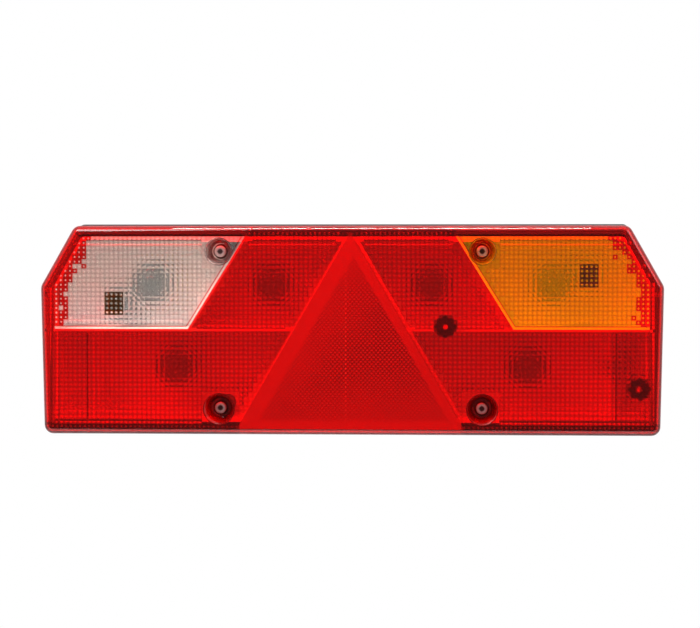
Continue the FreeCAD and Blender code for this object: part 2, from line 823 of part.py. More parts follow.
# The lens and what comes off with it


def add_well(lens, place, mouth, floor):
    """A screw's conical well: a tapered boss behind the lens, hollowed from the front."""
    back = well_back
    lens.cone(floor + s.well_wall, mouth + s.well_wall / 2, back, lens_inside, place)
    lens.cone(floor, mouth, well_floor, s.lens_front, place, cut=True)
    lens.hole(s.screw_radius + s.screw_hole_gap, back, well_floor, place)


def make_red_lens():
    """The red lens: skirt, front with two window openings, ribs behind it, and the lower wells."""
    lens = Piece("lens_red")
    lens.pad(lamp_outline(0, 0), skirt_back, s.lens_front)
    lens.round_off(s.corner_radius, runs_in_depth)
    lens.round_off(s.front_rounding, lies_at(s.lens_front))
    inside = lamp_outline(s.skirt_wall, s.skirt_wall)
    lens.pocket(inside, skirt_back, lens_inside)
    lens.round_off(s.corner_radius - s.skirt_wall, stands_on(inside))
    lens.round_off(s.inner_rounding, lies_at(lens_inside))
    rib_back = lens_inside - s.rib_depth
    half = s.rib_width / 2
    start = reflex_side(-half) + s.rib_width
    reach = bottom_half_width - s.skirt_wall / 2
    foot = s.half_height - s.skirt_wall / 2
    for hand in CORNERS.values():
        centre = (hand * (start + reach) / 2, 0)
        lens.block((reach - start) / 2, half, rib_back, lens_inside, centre)
        end_centre = (hand * end_wall, -foot / 2)
        lens.block(s.end_rib_width / 2, foot / 2, rib_back + 1, lens_inside, end_centre)
        width = s.slant_rib_width / sine(s.slant_angle)
        rib = band(hand, slant, 0, foot, -width, width)
        lens.pad(rib, rib_back, lens_inside)
    for hand in CORNERS.values():
        lens.pocket(window_outline(hand, 0), lens_inside, s.lens_front)
        place = (hand * lower_screw_across, -screw_height)
        add_well(lens, place, s.lower_mouth_radius, s.lower_floor_radius)


def make_window(label, hand):
    """A window plate welded flush into the red lens, with its own screw well."""
    window = Piece(label)
    window.pad(window_outline(hand, s.weld_gap), lens_inside, s.lens_front)
    place = (hand * upper_screw_across, screw_height)
    add_well(window, place, s.upper_mouth_radius, s.upper_floor_radius)


def make_reflector():
    """The triangular reflector plate behind the lens, and the tray that backs it."""
    plate_front = lens_inside - s.reflex_front_gap
    plate_back = plate_front - s.reflex_plate
    plate = Piece("reflex_reflector")
    plate.pad(reflex_outline(0), plate_back, plate_front)

    backing = Piece("reflex_backing")
    front = plate_back - s.seat_gap
    back = front - s.backing_depth
    backing.pad(reflex_outline(s.backing_inset), back, front)
    backing.pocket(reflex_outline(s.backing_inset + s.backing_wall), back + s.backing_wall, front)


def make_screw(name, place):
    """A pan-head lens screw with a star-shaped cross recess: four long arms and four short ones."""
    screw = Piece(f"lens_screw_{name}", *place)
    seat = well_floor + s.seal_height + 2 * s.seat_gap
    head_front = seat + s.screw_head_height
    screw.rod(s.screw_radius, well_floor - s.screw_reach, seat)
    screw.rod(s.screw_head_radius, seat, head_front)
    screw.round_off(s.screw_head_height / 3, lies_at(head_front))
    star = []
    for corner in range(RECESS_CORNERS):
        arm = (s.recess_reach, s.recess_root, s.recess_diagonal, s.recess_root)[corner % 4]
        angle = 360 * corner / RECESS_CORNERS
        star.append((arm * cosine(angle), arm * sine(angle)))
    screw.pocket(star, head_front - s.recess_depth, head_front)


def make_screw_seals():
    seals = Piece("screw_seals")
    back = well_floor + s.seat_gap
    for place in SCREWS.values():
        seals.rod(s.seal_radius, back, back + s.seal_height, place)
    for place in SCREWS.values():
        seals.hole(s.screw_radius + s.screw_hole_gap, back, back + s.seal_height, place)


def check_and_write():
    """Stop if any object failed, any cut removed nothing or any sub-part is unsound; then write the files."""
    doc.recompute()
    for thing in doc.Objects:
        if "Invalid" in thing.State or "Error" in thing.State:
            raise RuntimeError(f"{thing.Name} failed: {thing.State}")
    for body in pieces:
        before = 0.0
        for feature in body.Group:
            if not feature.isDerivedFrom("PartDesign::Feature"):
                continue
            volume = feature.Shape.Volume
            cuts = feature.TypeId.startswith("PartDesign::Subtractive") or "Pocket" in feature.TypeId
            if cuts and before - volume < SMALLEST_CUT:
                raise RuntimeError(f"{feature.Name} cuts nothing")
            before = volume
        if body.Shape.isNull() or not body.Shape.isValid():
            raise RuntimeError(f"{body.Label} is not a sound shape")
    os.makedirs("parts", exist_ok=True)
    for body in pieces:
        body.Shape.exportStep(os.path.join("parts", f"{body.Label}.step"))
        box = body.Shape.BoundBox
        print(f"{body.Label}: {len(body.Shape.Solids)} solids, {body.Shape.Volume:.0f} mm3, "
              f"X {box.XMin:.1f} {box.XMax:.1f}, Y {box.YMin:.1f} {box.YMax:.1f}, "
              f"Z {box.ZMin:.1f} {box.ZMax:.1f}")


make_housing()
make_gasket()
make_carrier()
make_carrier_screws()
make_buffers()
for bulb_name, bulb_place in BULBS.items():
    make_socket(bulb_name, bulb_place)
    make_bulb(bulb_name, bulb_place)
make_insulators()
make_contact_springs()
make_feed_strips()
make_earth_strip()
make_marker()
make_plug_socket()
make_mounting()
make_red_lens()
make_window("lens_white", -1)
make_window("lens_amber", 1)
make_reflector()
make_screw_seals()
for screw_name, screw_place in SCREWS.items():
    make_screw(screw_name, screw_place)
check_and_write()
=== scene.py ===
"""Looks for a trailer tail light: clear plastics with moulded optics, light chambers, metal and rubber."""

import math

import bpy
import numpy as np
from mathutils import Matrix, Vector


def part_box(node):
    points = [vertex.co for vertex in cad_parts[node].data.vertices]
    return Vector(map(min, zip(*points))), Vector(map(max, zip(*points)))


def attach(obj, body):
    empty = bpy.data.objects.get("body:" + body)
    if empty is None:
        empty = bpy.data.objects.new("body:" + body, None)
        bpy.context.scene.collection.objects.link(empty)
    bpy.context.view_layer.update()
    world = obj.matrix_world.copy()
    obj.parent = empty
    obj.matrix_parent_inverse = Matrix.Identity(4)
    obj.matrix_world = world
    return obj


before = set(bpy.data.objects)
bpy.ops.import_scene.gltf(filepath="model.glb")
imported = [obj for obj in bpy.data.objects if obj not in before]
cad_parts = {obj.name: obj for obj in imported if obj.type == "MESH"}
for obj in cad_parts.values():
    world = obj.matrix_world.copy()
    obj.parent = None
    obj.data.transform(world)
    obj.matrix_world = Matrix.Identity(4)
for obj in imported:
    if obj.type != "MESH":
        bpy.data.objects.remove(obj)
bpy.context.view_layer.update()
MM = 0.001

# ---------------------------------------------------------------- places read from the frame


def middle_of(node):
    """Where the middle of a node's box is, across and up."""
    low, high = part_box(node)
    return (low[0] + high[0]) / 2, (low[2] + high[2]) / 2


SIDES, LEVELS = ("left", "right"), ("upper", "lower")
LENS_LOW, LENS_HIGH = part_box("lens_red")
HALF_WIDTH, HALF_HEIGHT = LENS_HIGH[0], LENS_HIGH[2]
LENS_FRONT = LENS_LOW[1]
WINDOW_LOW, WINDOW_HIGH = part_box("lens_amber")
REFLEX_LOW, REFLEX_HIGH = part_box("reflex_reflector")
SCREW_PLACES = [middle_of(f"lens_screw_{level}_{side}") for level in LEVELS for side in SIDES]
SCREW_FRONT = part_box("lens_screw_upper_left")[0][1]
SCREW_ACROSS, SCREW_UP = (abs(value) for value in SCREW_PLACES[0])
BOLT_PLACES = [middle_of(f"bolt_cap_{side}") for side in SIDES]
BUFFER_PLACES = [middle_of(f"lens_buffer_{level}") for level in LEVELS]

# ---------------------------------------------------------------- sizes of the lens that the boxes don't give

LENS_WALL = 2.4 * MM
# the shoulders: where they start, and how steep they are
SHOULDER_HEIGHT = 28.5 * MM
SLOPE = math.radians(60.33)
# how much the sides lean in towards the foot
SIDE_LEAN = 2 / 96.5
# the windows: how steep their slanted edge is, and how far inside the shoulders they end
SLANT = math.radians(58.2)
WINDOW_INSET = 8.5 * MM
# the ribs: where the two upright ones stand, and half the width of the one across the middle
END_WALL = HALF_WIDTH - 31 * MM
RIB_HALF = 0.85 * MM
# the reflector has three equal sides
SIN_60, TAN_60 = 0.866, math.sqrt(3)

# the pillows behind the lens: their pitch, their crown's radius, and how many faces they have each way
PITCH = 3.02 * MM
CROWN = 2.8 * MM
CELL_STEPS = 6
OPTICS_FRONT = LENS_FRONT + LENS_WALL + 0.04 * MM
OPTICS_BASE = 0.4 * MM
# how far the pillows stay from a screw's middle and from the outline
WELL_REACH = 10.5 * MM
SKIRT_MARGIN = 3.0 * MM

# the reflector's prisms: how far apart in a row, how far apart the rows, and the seam of the two halves
PRISM_STEP = 0.933 * MM
PRISM_ROW = 1.5 * MM
PRISM_SEAM = -2.9 * MM

# the bright bands along the reflector's sides, where nothing backs it: free of prisms, and painted lighter as
# if lit from behind
BAND_LEFT, BAND_RIGHT, BAND_FOOT = 8 * MM, 5 * MM, 5 * MM

# the heights between which the pillows look at the dark joint of lens and tray and get painted shade
TOP_ROWS = 61 * MM, 65.6 * MM
FOOT_ROWS = -64.6 * MM, -60 * MM
FOOT_START = 72 * MM


def outline_inset(across, up):
    """How far inside the lamp's sloping shoulder a point is."""
    return (HALF_WIDTH - across) * math.sin(SLOPE) + (SHOULDER_HEIGHT - up) * math.cos(SLOPE)


def slant_inset(across, up):
    """How far inside a window's slanted edge a point is; across counts away from the centre line."""
    foot = (WINDOW_HIGH[2] - up) * (1 / math.tan(SLANT)) + WINDOW_LOW[0]
    return (across - foot) * math.sin(SLANT)


def reflex_insets(across, up):
    """How far inside the reflector's left, right and lower sides a point is."""
    half = (REFLEX_HIGH[2] - up) * (1 / TAN_60)
    return (half + across) * SIN_60, (half - across) * SIN_60, up - REFLEX_LOW[2]


# ---------------------------------------------------------------- shader tools


class Shade:
    """A node socket whose operators add Math nodes."""

    def __init__(self, finish, socket):
        self.finish = finish
        self.socket = socket

    def math(self, operation, *others):
        values = {index: other for index, other in enumerate((self,) + others)}
        return self.finish.node("ShaderNodeMath", {"operation": operation}, values)

    def __add__(self, other):
        return self.math("ADD", other)

    __radd__ = __add__

    def __sub__(self, other):
        return self.math("SUBTRACT", other)

    def __rsub__(self, other):
        return self.finish.node("ShaderNodeMath", {"operation": "SUBTRACT"}, {0: other, 1: self})

    def __mul__(self, other):
        return self.math("MULTIPLY", other)

    __rmul__ = __mul__

    def __gt__(self, other):
        return self.math("GREATER_THAN", other)

    def __lt__(self, other):
        return self.math("LESS_THAN", other)

    def __abs__(self):
        return self.math("ABSOLUTE")

    def least(self, other):
        return self.math("MINIMUM", other)

    def most(self, other):
        return self.math("MAXIMUM", other)

    def fade(self, start, end):
        """1 at start and before, 0 at end and after, smooth between."""
        values = {"Value": self, "From Min": start, "From Max": end, "To Min": 1.0, "To Max": 0.0}
        return self.finish.node("ShaderNodeMapRange", {"interpolation_type": "SMOOTHSTEP"}, values)


class Finish:
    """One material of this lamp, or the room's world: its nodes, all made by one method."""

    def __init__(self, name, world=False):
        self.block = bpy.data.worlds.new(name) if world else bpy.data.materials.new(name)
        self.block.use_nodes = True
        self.tree = self.block.node_tree
        self.tree.nodes.clear()
        self.last = "ShaderNodeOutputWorld" if world else "ShaderNodeOutputMaterial"
        self.place = self.node("ShaderNodeTexCoord", output="Generated" if world else "Object")

    def node(self, kind, settings=None, values=None, output=0):
        """Add a node with its settings and its sockets' values or links, and give one of its outputs."""
        made = self.tree.nodes.new(kind)
        for name, setting in (settings or {}).items():
            setattr(made, name, setting)
        for name, value in (values or {}).items():
            if isinstance(value, Shade):
                self.tree.links.new(value.socket, made.inputs[name])
            else:
                made.inputs[name].default_value = value
        return None if output is None else Shade(self, made.outputs[output])

    def noise(self, scale, detail=2, roughness=0.5, place=None):
        values = {"Vector": place or self.place, "Scale": scale, "Detail": detail, "Roughness": roughness}
        return self.node("ShaderNodeTexNoise", {}, values)

    def axis(self, axis):
        """One coordinate of the point."""
        return self.node("ShaderNodeSeparateXYZ", {}, {0: self.place}, output="XYZ".index(axis))

    def mix(self, factor, first, second):
        """The colour between two colours."""
        first = (*first, 1) if isinstance(first, tuple) else first
        second = (*second, 1) if isinstance(second, tuple) else second
        values = {0: factor, 6: first, 7: second}
        return self.node("ShaderNodeMix", {"data_type": "RGBA"}, values, output=2)

    def span(self, factor, low, high):
        """The value between two numbers."""
        return self.node("ShaderNodeMapRange", {}, {"Value": factor, "To Min": low, "To Max": high})

    def bump(self, height, distance):
        return self.node("ShaderNodeBump", {}, {"Height": height, "Distance": distance, "Strength": 1.0})

    def surface(self, **values):
        """The main shader, with words for spaces in its sockets' names."""
        inputs = {name.replace("_", " "): value for name, value in values.items()}
        for name, value in inputs.items():
            if isinstance(value, tuple):
                inputs[name] = (*value, 1)
        return self.node("ShaderNodeBsdfPrincipled", {}, inputs)

    def finish(self, shader):
        self.node(self.last, {}, {"Surface": shader}, output=None)
        return self.block


def length(across, up):
    """How long a step is: the root of across^2 + up^2."""
    return (across * across + up * up).math("SQRT")


def scaled(colour, factor):
    return tuple(min(1.0, part * factor) for part in colour)


class Pillows:
    """The pillow that a point lies in: its middle's place, how far off that the point is in pillows, and a
    random number of its own. The rows are counted up and down from the rib across the lens's middle."""

    def __init__(self, f):
        across = f.axis("X") * (1 / PITCH)
        up = f.axis("Z")
        rows = (abs(up) - RIB_HALF) * (1 / PITCH)
        side = up.math("SIGN")
        column, row = across.math("FLOOR"), rows.math("FLOOR")
        self.x = (column + 0.5) * PITCH
        self.z = ((row + 0.5) * PITCH + RIB_HALF) * side
        self.u, self.v = across - column - 0.5, (rows - row - 0.5) * side
        self.off = length(self.u, self.v)
        number = f.node("ShaderNodeCombineXYZ", {}, {0: column, 1: row, 2: side})
        self.chance = f.node("ShaderNodeTexWhiteNoise", {}, {"Vector": number})


# ---------------------------------------------------------------- clear plastics


def clear_plastic(name, tint, lamp_tint, share=1.0, haze=0.02, paint=None):
    """Clear moulded plastic: it bends light, and lets the light of lamps through in its own colour. Its share
    is how much of the light passes, and the rest is scattered at its surface."""
    f = Finish(name)
    smudge = f.noise(35, 4, 0.6)
    body = f.surface(
        Base_Color=paint(f, tint) if paint else tint,
        Roughness=f.span(smudge, haze * 0.5, haze * 1.6),
        IOR=1.49,
        Transmission_Weight=share,
    )
    through = f.node("ShaderNodeBsdfTransparent", {}, {"Color": (*lamp_tint, 1)})
    shadow = f.node("ShaderNodeLightPath", output="Is Shadow Ray")
    return f.finish(f.node("ShaderNodeMixShader", {}, {0: shadow, 1: body, 2: through}))


def painted_highlight_dots(f, tint, cells):
    """Painted highlight and painted shade on each pillow: a short lighter streak at its middle, where it
    looks straight at the light, and painted darker towards its sides."""
    # painted highlight: the short streak at each pillow's middle
    painted_glint_dash = length(cells.u * 0.75, cells.v * 1.5 + cells.u * 0.3).fade(0.08, 0.26)
    # painted shade: darker towards each pillow's sides
    painted_side_shade = f.mix(cells.off.fade(0.2, 0.6), scaled(tint, 0.8), scaled(tint, 0.93))
    return f.mix(painted_glint_dash, painted_side_shade, scaled(tint, 1.1))


def cap_shade_square(cells, centre, reach):
    """1 round the middles of the pillows that a bolt's cap darkens: painted shade for the dark cap seen
    through them.
    """
    x, z = centre
    return (abs(cells.x - x) < reach) * (abs(cells.z - z) < reach) * (cells.off > 0.3)


def pressed_rosette(f, centre, reach):
    """1 where a buffer's face touches: a ring with eight lobes, its rim at reach * (1 + cos(8 turn) / 9)."""
    across, up = f.axis("X") - centre[0], f.axis("Z") - centre[1]
    far = length(across, up)
    lobes = (up.math("ARCTAN2", across) * 8).math("COSINE")
    return (far < (lobes * (1 / 9) + 1) * reach) * (far > 0.26 * reach)


def fringed(f, tint):
    """Painted highlight dots, painted lighter towards the rib, where more light falls, with red pillows
    scattered along the window's outer edges: fewer the farther in. The bolts' caps show as squares of
    darker dots in painted shade."""
    cap_reach, fringe_red = 6.2 * MM, (0.75, 0.02, 0.012)
    cells = Pillows(f)
    edge = (WINDOW_HIGH[0] - abs(cells.x)).least(outline_inset(abs(cells.x), cells.z) - WINDOW_INSET)
    red = (edge < (cells.chance * 2.6 + 0.8) * PITCH) * (cells.off > 0.22)
    # painted light: the lighter tint used towards the rib
    painted_light_tint = (min(1, tint[0] * 1.02), min(1, tint[1] * 1.14), min(1, tint[2] * 1.16))
    dark = (tint[0] * 0.34, tint[1] * 0.16, 0.04)
    colour = f.mix(cells.z.fade(2 * MM, 34 * MM), painted_highlight_dots(f, tint, cells), painted_highlight_dots(f, painted_light_tint, cells))
    colour = f.mix(red, colour, fringe_red)
    # painted shade: squares of darker dots where the bolts' caps stand behind the window
    for centre in BOLT_PLACES:
        colour = f.mix(cap_shade_square(cells, centre, cap_reach), colour, dark)
    return colour


def shaded_rows(f, tint):
    """Red pillows with painted highlight dots, and painted shade in the rows along the lamp's top and bottom
    edges, which look at the dark joint between the lens and the tray."""
    cells = Pillows(f)
    foot = (cells.z < FOOT_ROWS[1]) * (abs(cells.x) > FOOT_START - 2 * MM)
    rows = (cells.z > TOP_ROWS[0]).most(foot)
    return f.mix(rows * (cells.off > 0.25), painted_highlight_dots(f, tint, cells), scaled(tint, 0.16))


def lined(f, tint):
    """The window's own pillows, with a thin red line inside its slanted and lower edges."""
    frame_width, line_middle, line_half, line_red = 2 * MM, 1.75 * MM, 0.24 * MM, (0.7, 0.03, 0.02)
    up = f.axis("Z")
    edge = slant_inset(abs(f.axis("X")), up).least(up - WINDOW_LOW[2])
    inside = f.mix(edge > frame_width, scaled(tint, 1.03), fringed(f, tint))
    return f.mix(abs(edge - line_middle) < line_half, inside, line_red)


def prism_cells(f, tint):
    """The reflector's colour, and how far inside its nearest side a point is. It is deeper red inside, with
    rows of small cells, each row half a cell on, with painted light: lighter along its sides, where nothing
    backs it, and towards its left and lower sides. A row of painted glints marks the seam of its two halves."""
    glint_seam_half = 0.45 * MM
    across, up = f.axis("X"), f.axis("Z")
    left, right, low = reflex_insets(across, up)
    # painted light: the lighter bands along the sides
    edge = left.fade(BAND_LEFT, BAND_LEFT + 3.5 * MM).most(right.fade(BAND_RIGHT, BAND_RIGHT + 2 * MM))
    edge = edge.most(low.fade(BAND_FOOT - 2 * MM, BAND_FOOT + 3 * MM))
    rows = up * (1 / PRISM_ROW)
    shift = (rows * 0.5).math("FLOOR") * -2 + rows.math("FLOOR")
    along = (across * (1 / (3 * PRISM_STEP)) + shift * 0.5).math("FRACT") - 0.5
    down = rows.math("FRACT") - 0.5
    cell = (along * along * 1.6 + down * down).fade(0.03, 0.24)
    inner = f.mix(cell, scaled(tint, 0.54), scaled(tint, 0.94))
    # painted glints along the seam of the two halves
    inner = f.mix((abs(across - PRISM_SEAM) < glint_seam_half) * cell, inner, (1.0, 0.09, 0.05))
    # painted light: lighter towards the left and lower sides
    painted_glow = left.fade(BAND_LEFT, 55 * MM).most(low.fade(BAND_FOOT, 55 * MM))
    inner = f.mix((painted_glow * 0.65 + 0.1) * (f.noise(26) * 0.6 + 0.5), inner, scaled(tint, 0.85))
    return f.mix(edge, inner, scaled(tint, 0.9)), left.least(right).least(low)


def ribbed(f, tint):
    """The red lens: painted highlight dots of the pillows, the reflector's cells showing through its middle,
    an end rib as a dark line each side, and painted shade: a toothed joint line above each window, the rows
    that look at the joint, the lower wells, and the joint along the foot outside the reflector."""
    across, up = abs(f.axis("X")), f.axis("Z")
    depth = f.axis("Y") - LENS_FRONT
    cells = Pillows(f)
    flanks = cells.off > 0.25
    teeth = (across * (1 / PITCH)).math("PINGPONG", 0.5) * 2.4 * MM
    joint = (up > WINDOW_HIGH[2]) * (up < teeth + (TOP_ROWS[0] + 0.6 * MM)) * (across > WINDOW_LOW[0])
    joint = joint * (outline_inset(across, up) > 6 * MM)
    head = (up > TOP_ROWS[0]) * (up < TOP_ROWS[1]) * (across < WINDOW_LOW[0]) * flanks
    toe = (up > FOOT_ROWS[0]) * (up < FOOT_ROWS[1]) * (across > FOOT_START) * flanks
    foot = (up < 2 * MM - HALF_HEIGHT) * (across > FOOT_START)
    rib = (abs(across - END_WALL) < 0.4 * MM) * (up < -2 * MM) * (up > -58 * MM)
    well = length(across - SCREW_ACROSS, up + SCREW_UP).fade(6.5 * MM, 9 * MM) * (depth > 1 * MM)
    # painted shade at the joint, the wells, the foot and the rows that look at the joint, with the end rib's
    # dark line
    dark = joint.most(rib * 0.8).most(well * 0.9).most(foot * 0.75).most(head * 0.55).most(toe * 0.6)
    prisms, inside = prism_cells(f, tint)
    plain = f.mix(abs(up) < RIB_HALF, painted_highlight_dots(f, tint, cells), tint)
    front = f.mix(inside > 0, plain, prisms)
    for centre in BUFFER_PLACES:
        front = f.mix(pressed_rosette(f, centre, 6.7 * MM) * 0.75, front, scaled(tint, 0.16))
    return f.mix(dark, front, scaled(tint, 0.2))


def banded(f, tint):
    """The reflector's own plate, in the reflector's colour with its painted light and glints."""
    return prism_cells(f, tint)[0]


def prismed(f, tint):
    """Prisms with painted glints: some rows shine, and so does the seam where their two halves meet, in dots.
    """
    across, rows = f.axis("X"), f.axis("Z") * (1 / PRISM_ROW)
    chance = f.node("ShaderNodeTexWhiteNoise", {"noise_dimensions": "1D"}, {"W": rows.math("FLOOR")})
    painted_glint_dash = (across * (1 / (3 * PRISM_STEP))).math("FRACT") < 0.4
    seam = (abs(across - PRISM_SEAM) < 0.4 * MM) * (rows.math("FRACT") < 0.5)
    # painted highlights on the chosen rows and on the seam
    return f.mix(((chance > 0.93) * painted_glint_dash).most(seam), tint, (1.0, 0.12, 0.06))


# for each plastic: its own tint, and the colour that it gives to the light of lamps
RED_TINTS = (0.89, 0.012, 0.009), (0.94, 0.05, 0.03)
CLEAR_TINTS = (0.96, 0.98, 0.94), (0.97, 0.93, 0.9)
AMBER_TINTS = (1.0, 0.62, 0.002), (0.98, 0.55, 0.02)
RED = clear_plastic("red_lens_plastic", *RED_TINTS, share=0.92, paint=ribbed)
CLEAR = clear_plastic("clear_lens_plastic", *CLEAR_TINTS, share=0.965, paint=lined)
AMBER = clear_plastic("amber_lens_plastic", *AMBER_TINTS, share=0.93, paint=lined)
RED_OPTICS = clear_plastic("red_pillow_optics", *RED_TINTS, share=0.97, paint=shaded_rows)
CLEAR_OPTICS = clear_plastic("clear_pillow_optics", *CLEAR_TINTS, share=0.965, paint=fringed)
AMBER_OPTICS = clear_plastic("amber_pillow_optics", *AMBER_TINTS, share=0.93, paint=fringed)
REFLEX_TINTS, PRISM_TINTS = ((0.72, 0.01, 0.008), RED_TINTS[1]), ((0.75, 0.008, 0.006), RED_TINTS[1])
REFLEX_RED = clear_plastic("reflector_red_plastic", *REFLEX_TINTS, share=0.5, paint=banded)
PRISM_RED = clear_plastic("reflector_prisms", *PRISM_TINTS, share=0.5, paint=prismed)
# painted shade: the bulbs' glass is tinted dark, for the dark socket and surroundings that a clear bulb shows
BULB_GLASS = clear_plastic("bulb_glass", (0.2, 0.14, 0.12), (0.3, 0.26, 0.24), haze=0.01)

# ---------------------------------------------------------------- plain plastics, rubber and metal


def plain_plastic(name, colour, rough, grain, grain_depth):
    """Moulded plastic: fine grain, with soft changes of colour and gloss."""
    f = Finish(name)
    patch = f.noise(18, 3)
    base = f.mix(patch, colour, tuple(min(1.0, part * 1.18 + 0.004) for part in colour))
    bump = f.bump(f.noise(grain, 2, 0.6), grain_depth)
    body = f.surface(Base_Color=base, Roughness=f.span(patch, rough * 0.85, rough * 1.15), Normal=bump)
    return f.finish(body)


def metal(name, colour, rough, brushing):
    """Plated or rolled metal with fine lines along X and duller patches."""
    f = Finish(name)
    lines = f.node("ShaderNodeMapping", {}, {"Vector": f.place, "Scale": (60, brushing, brushing)})
    streak = f.noise(1.0, 3, 0.6, place=lines)
    body = f.surface(
        Base_Color=f.mix(f.noise(140, 3), colour, scaled(colour, 0.72)),
        Metallic=1.0,
        Roughness=f.span(streak, rough * 0.75, rough * 1.4),
        Normal=f.bump(streak, 0.02 * MM),
    )
    return f.finish(body)


def screw_zinc(name, colour):
    """Zinc plate, with painted shade inside the driver's hollow and round its middle, where the light doesn't
    reach.
    """
    recess_floor, recess_radius = 1.7 * MM, 2.75 * MM
    f = Finish(name)
    radius = length(abs(f.axis("X")) - SCREW_ACROSS, abs(f.axis("Z")) - SCREW_UP)
    depth = f.axis("Y") - SCREW_FRONT
    # painted shade inside the driver's hollow and round the middle, which also dulls the metal
    recess_shade = (depth > 0.12 * MM) * (depth < recess_floor) * (radius < recess_radius)
    recess_shade = recess_shade.most(radius.fade(1.4 * MM, 2.1 * MM))
    patch = f.noise(400, 3)
    body = f.surface(
        Base_Color=f.mix(recess_shade, f.mix(patch, colour, scaled(colour, 0.7)), scaled(colour, 0.05)),
        Metallic=1 - recess_shade * 0.7,
        Roughness=f.span(patch, 0.3, 0.5),
    )
    return f.finish(body)


HOUSING = plain_plastic("housing_black_plastic", (0.018, 0.018, 0.02), 0.5, 2200, 0.06 * MM)
CARRIER = plain_plastic("carrier_white_plastic", (0.84, 0.81, 0.78), 0.35, 900, 0.01 * MM)
BACKING = plain_plastic("backing_red_plastic", (0.35, 0.006, 0.006), 0.4, 900, 0.01 * MM)
BOARD = plain_plastic("insulator_board", (0.16, 0.07, 0.03), 0.7, 1500, 0.03 * MM)
RUBBER = plain_plastic("black_rubber", (0.012, 0.012, 0.012), 0.75, 1800, 0.04 * MM)
ZINC = metal("zinc_plated_steel", (0.62, 0.61, 0.58), 0.35, 2500)
SCREW_ZINC = screw_zinc("lens_screw_zinc", (0.72, 0.71, 0.69))
BRASS = metal("brass_strip", (0.72, 0.5, 0.2), 0.35, 2500)
CAP = metal("bulb_cap_brass", (0.66, 0.56, 0.36), 0.3, 1800)
WIRE = metal("filament_wire", (0.4, 0.4, 0.42), 0.45, 1500)

FINISHES = {
    "housing": HOUSING, "rim_gasket": RUBBER, "reflector_carrier": CARRIER, "carrier_screws": ZINC,
    "lens_buffer": RUBBER, "socket_insulators": BOARD, "socket_": BRASS, "contact_springs": BRASS,
    "feed_strips": BRASS, "earth_strip": BRASS, "bulb_cap": CAP, "bulb_glass": BULB_GLASS,
    "filament": WIRE, "marker_holder": HOUSING, "marker_glass": BULB_GLASS, "marker_filament": WIRE,
    "plug_shell": HOUSING, "plug_seal": RUBBER, "plug_pins": BRASS, "bolt_washers": ZINC,
    "mounting_bolt": ZINC, "bolt_cap": RUBBER, "lens_screw": SCREW_ZINC, "screw_seals": RUBBER,
    "lens_red": RED, "lens_white": CLEAR, "lens_amber": AMBER, "reflex_reflector": REFLEX_RED,
    "reflex_backing": BACKING,
}


def dress_frame():
    """Give every CAD node its finish, by the longest name that starts its own."""
    for name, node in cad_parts.items():
        heads = [head for head in FINISHES if name.startswith(head)]
        material = FINISHES[max(heads, key=len)]
        node.data.materials.clear()
        node.data.materials.append(material)


dress_frame()

# ---------------------------------------------------------------- the moulded optics behind the lens


def add_piece(name, vertices, faces, material, smooth):
    """A piece of the lens from its faces, attached to the lens's body."""
    mesh = bpy.data.meshes.new(name)
    mesh.from_pydata(vertices, [], faces)
    mesh.materials.append(material)
    mesh.polygons.foreach_set("use_smooth", smooth)
    mesh.update()
    mesh.set_sharp_from_angle(angle=math.radians(24))
    made = bpy.data.objects.new(name, mesh)
    bpy.context.scene.collection.objects.link(made)
    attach(made, "lens")


def closed_sheet(back, front, kept, steps, triangles):
    """The corners and faces of a sheet of cells, and which faces are the fine ones behind: a fine grid
    behind, one face a cell in front, and a wall round the edge as many-cornered faces. Each cell has
    steps x steps faces behind, of four corners or of three."""
    behind = np.arange(back.shape[0] * back.shape[1]).reshape(back.shape[:2])
    ahead = behind.size + np.arange(front.shape[0] * front.shape[1]).reshape(front.shape[:2])
    fine = np.repeat(np.repeat(kept, steps, axis=0), steps, axis=1)
    a, b, c, d = behind[:-1, :-1][fine], behind[:-1, 1:][fine], behind[1:, 1:][fine], behind[1:, :-1][fine]
    if triangles:
        faces = np.stack([a, d, b], 1).tolist() + np.stack([d, c, b], 1).tolist()
    else:
        faces = np.stack([a, d, c, b], 1).tolist()
    count = len(faces)
    a, b, c, d = ahead[:-1, :-1][kept], ahead[:-1, 1:][kept], ahead[1:, 1:][kept], ahead[1:, :-1][kept]
    faces += np.stack([a, b, c, d], 1).tolist()
    padded, along = np.pad(kept, 1), np.arange(steps + 1)
    below, above, before, after = padded[:-2, 1:-1], padded[2:, 1:-1], padded[1:-1, :-2], padded[1:-1, 2:]
    for turn, neighbour in enumerate((below, above, before, after)):
        row, column = np.nonzero(kept & ~neighbour)
        near, far = row + (turn == 1), column + (turn == 3)
        if turn < 2:
            edge = behind[(near * steps)[:, None], (column * steps)[:, None] + along]
            ends = ahead[near, column], ahead[near, column + 1]
        else:
            edge = behind[(row * steps)[:, None] + along, (far * steps)[:, None]]
            ends = ahead[row, far], ahead[row + 1, far]
        wall = np.column_stack([ends[1], ends[0], edge])
        faces += (wall if turn in (0, 3) else wall[:, ::-1]).tolist()
    vertices = np.concatenate([back.reshape(-1, 3), front.reshape(-1, 3)])
    corners = np.concatenate([np.array(face) for face in faces])
    used, renumbered = np.unique(corners, return_inverse=True)
    ends = np.cumsum([len(face) for face in faces])[:-1]
    faces = [part.tolist() for part in np.split(renumbered, ends)]
    return vertices[used], faces, np.arange(len(faces)) < count


def cells_inside(inside, x, z):
    """The cells of a grid whose four corners are inside a zone."""
    good = inside(x, z)
    return good[:-1, :-1] & good[1:, :-1] & good[:-1, 1:] & good[1:, 1:]


